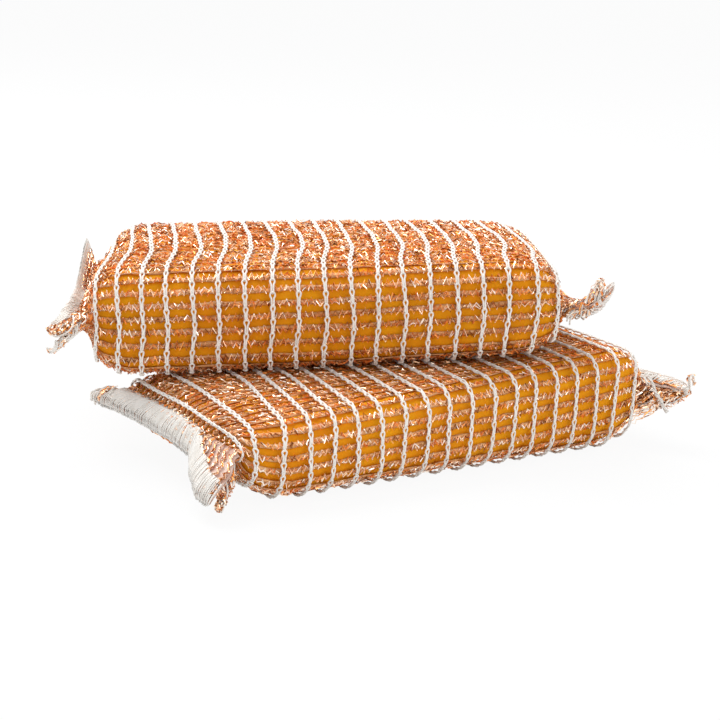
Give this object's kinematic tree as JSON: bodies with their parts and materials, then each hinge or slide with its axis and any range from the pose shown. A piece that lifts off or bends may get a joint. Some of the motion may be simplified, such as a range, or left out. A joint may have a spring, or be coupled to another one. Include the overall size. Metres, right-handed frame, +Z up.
{
  "type": "pot scrubber",
  "caption": "Foam scrubbing pads in knitted net sleeves of tinsel yarn, gathered and overlocked flat at both ends, one lying crosswise on the other.",
  "frame": {"origin": "on the table, 3.2 mm to the right of the lower pad's middle, at the flat underside of a chain", "axes": "+X along the lower pad, +Y to its far side, over which the upper pad lies, +Z up"},
  "size_m": [0.1569, 0.1276, 0.0507],
  "materials": {
    "foam": "matt open-cell polyurethane foam",
    "tinsel_net": "crinkled copper-coloured tinsel yarn laid on a sheer flat yarn",
    "white_chain": "chain-stitched white polyester yarn",
    "seam_cloth": "two layers of the net sewn flat",
    "overlock_thread": "white overlock stitches"
  },
  "bodies": {
    "lower_pad": {"lower_foam_core": "foam", "lower_net_sleeve": "tinsel_net", "lower_chains": "white_chain"},
    "lower_left_seam": {"lower_left_flap": "seam_cloth", "lower_left_overlock": "overlock_thread"},
    "lower_right_seam": {"lower_right_flap": "seam_cloth", "lower_right_overlock": "overlock_thread"},
    "upper_pad": {"upper_foam_core": "foam", "upper_net_sleeve": "tinsel_net", "upper_chains": "white_chain"},
    "upper_left_seam": {"upper_left_flap": "seam_cloth", "upper_left_overlock": "overlock_thread"},
    "upper_right_seam": {"upper_right_flap": "seam_cloth", "upper_right_overlock": "overlock_thread"}
  },
  "joints": [
    {"name": "upper_pad_lift", "type": "slide", "parent": "lower_pad", "child": "upper_pad", "axis": [0, 0, 1], "range_m": [0, 0.12]},
    {"name": "lower_left_seam_bend", "type": "hinge", "parent": "lower_pad", "child": "lower_left_seam", "pos_m": [-0.06308, 0, 0.01324], "axis": [0, 1, 0], "range_deg": [-5, 30], "stiffness_Nm_per_rad": 0.0005},
    {"name": "lower_right_seam_bend", "type": "hinge", "parent": "lower_pad", "child": "lower_right_seam", "pos_m": [0.05672, 0, 0.01584], "axis": [0, -1, 0], "range_deg": [-30, 30], "stiffness_Nm_per_rad": 0.0005},
    {"name": "upper_left_seam_bend", "type": "hinge", "parent": "upper_pad", "child": "upper_left_seam", "pos_m": [-0.06242, 0.0531, 0.03375], "axis": [0.4798, 0.8768, 0.0328], "range_deg": [-30, 5], "stiffness_Nm_per_rad": 0.0005},
    {"name": "upper_right_seam_bend", "type": "hinge", "parent": "upper_pad", "child": "upper_right_seam", "pos_m": [0.04251, -0.00451, 0.03893], "axis": [-0.4798, -0.8768, -0.0328], "range_deg": [-5, 30], "stiffness_Nm_per_rad": 0.0005}
  ]
}
